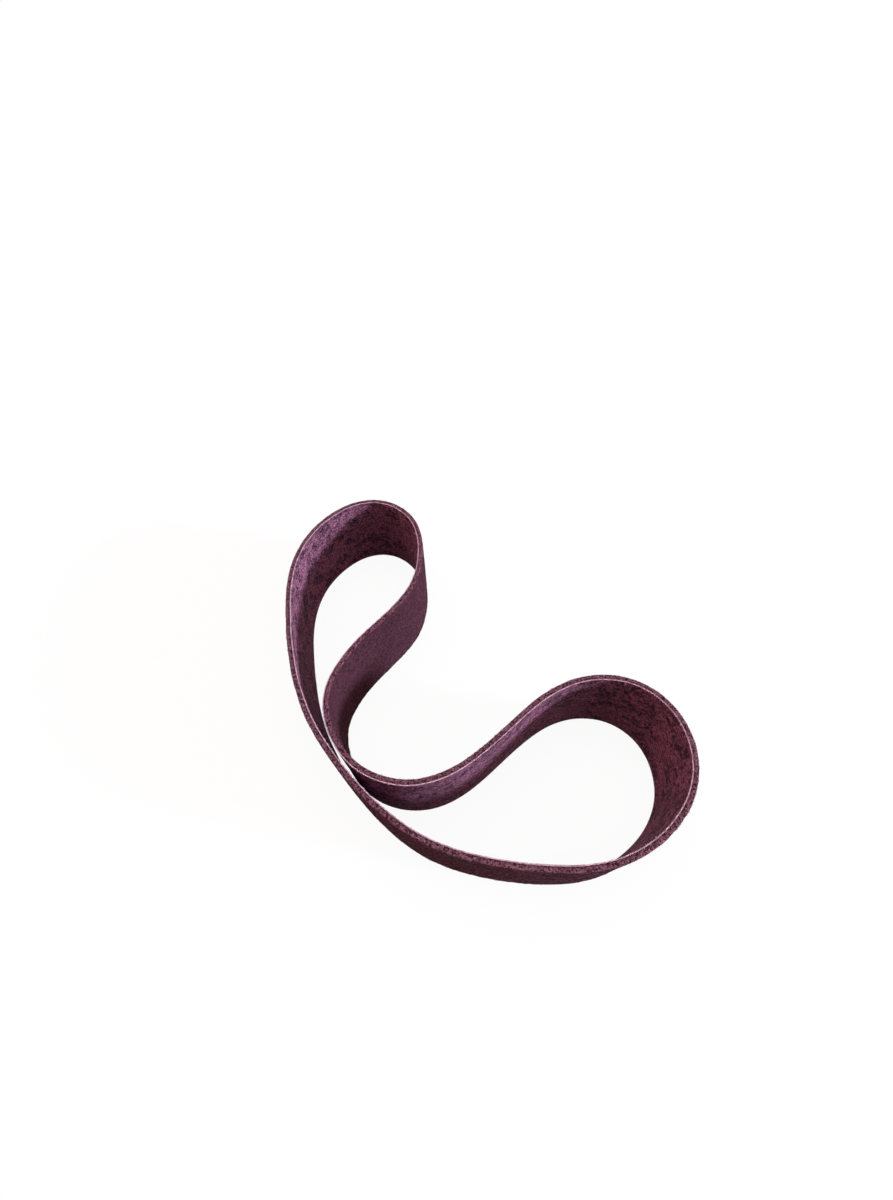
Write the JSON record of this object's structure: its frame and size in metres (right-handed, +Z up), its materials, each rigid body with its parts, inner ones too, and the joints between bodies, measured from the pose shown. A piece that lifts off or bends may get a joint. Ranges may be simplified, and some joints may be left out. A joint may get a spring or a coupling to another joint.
{
  "type": "sanding belt",
  "caption": "Endless surface-conditioning sanding belt with a nonwoven abrasive web on a woven backing, standing on edge in a folded loop with two lobes.",
  "frame": {"origin": "under the middle of the loop's box, on the surface that the lower cut edge stands on", "axes": "+Z up, across the belt's width; +Y away from the viewer towards the far lobe; +X to the right, towards the right lobe"},
  "size_m": [0.1998, 0.2074, 0.0508],
  "materials": {
    "abrasive_web": "matte fibrous nonwoven nylon, maroon",
    "backing_scrim": "woven cloth filled with resin, mottled plum with pale pink cut edges",
    "splice_tape": "thin satin film, amber"
  },
  "bodies": {
    "root": {"abrasive_web": "abrasive_web", "backing_scrim": "backing_scrim", "splice_tape": "splice_tape"}
  },
  "joints": []
}
